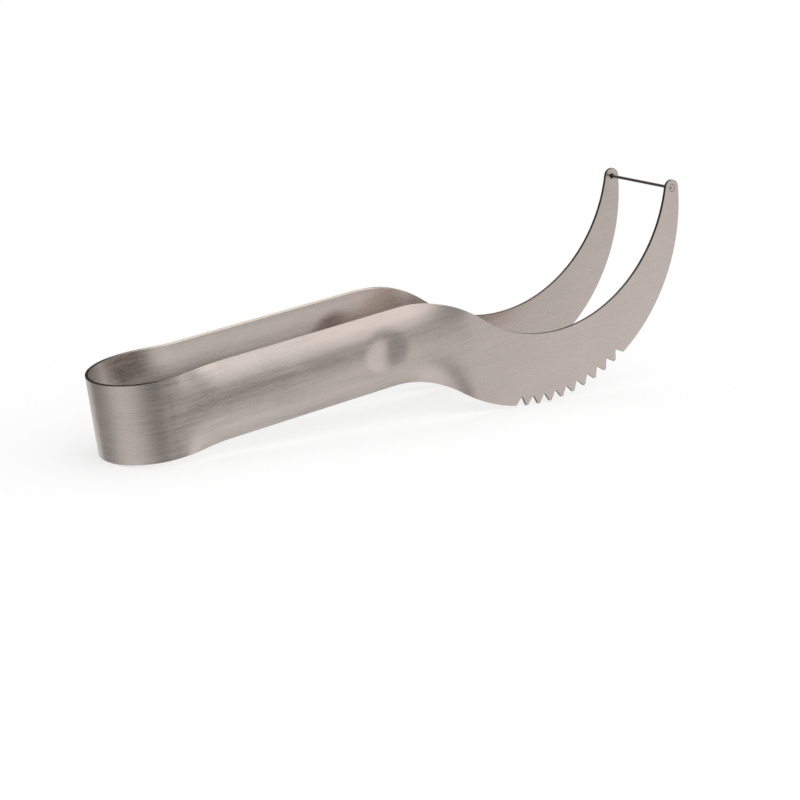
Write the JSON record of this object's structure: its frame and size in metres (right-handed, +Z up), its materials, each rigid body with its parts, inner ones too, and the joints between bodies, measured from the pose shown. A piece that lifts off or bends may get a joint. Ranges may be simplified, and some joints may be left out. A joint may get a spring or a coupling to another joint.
{
  "type": "melon slicer",
  "caption": "Sprung steel strip bent into a U, with two curved toothed blades and a thin rod between their tips, that cuts a slice of melon and lifts it like tongs.",
  "frame": {"origin": "bottom centre of the bounding box, on the surface the slicer stands on, under the middle of its overall length and width", "axes": "+X from the bow towards the blade tips, +Y to the left when it is held with the tips pointing away, +Z up"},
  "size_m": [0.2116, 0.0354, 0.0707],
  "materials": {
    "brushed_strip": "satin, brushed along the strip",
    "blade_strip": "satin, brushed along the strip, sheared edges",
    "rod_wire": "drawn wire, darker than the strip"
  },
  "bodies": {
    "bow": {"bow": "brushed_strip"},
    "right_handle": {"right_handle": "brushed_strip"},
    "left_handle": {"left_handle": "brushed_strip"},
    "right_blade": {"right_blade": "blade_strip"},
    "left_blade": {"left_blade": "blade_strip"},
    "cross_rod": {"cross_rod": "rod_wire"}
  },
  "joints": [
    {"name": "right_squeeze", "type": "hinge", "parent": "bow", "child": "right_handle", "pos_m": [-0.08637, -0.01725, 0.01485], "axis": [-0.1381, 0, 0.9904], "range_deg": [0, 5], "stiffness_Nm_per_rad": 20},
    {"name": "left_squeeze", "type": "hinge", "parent": "bow", "child": "left_handle", "pos_m": [-0.08637, 0.01725, 0.01485], "axis": [0.1381, 0, -0.9904], "range_deg": [0, 5], "stiffness_Nm_per_rad": 20},
    {"name": "right_flex", "type": "hinge", "parent": "right_handle", "child": "right_blade", "pos_m": [0.02059, -0.01659, 0.02976], "axis": [0.1381, 0, -0.9904], "range_deg": [0, 11.3]},
    {"name": "left_flex", "type": "hinge", "parent": "left_handle", "child": "left_blade", "pos_m": [0.02059, 0.01659, 0.02976], "axis": [-0.1381, 0, 0.9904], "range_deg": [0, 11.3]},
    {"name": "rod_swivel", "type": "hinge", "parent": "right_blade", "child": "cross_rod", "pos_m": [0.10235, -0.01606, 0.06786], "axis": [-0.1381, 0, 0.9904], "range_deg": [0, 6.3]}
  ],
  "couplings": [
    {"joint": "left_squeeze", "follows": "right_squeeze", "ratio": 1},
    {"joint": "right_flex", "follows": "right_squeeze", "ratio": 2.2524},
    {"joint": "left_flex", "follows": "right_squeeze", "ratio": 2.2524},
    {"joint": "rod_swivel", "follows": "right_squeeze", "ratio": 1.2524}
  ]
}
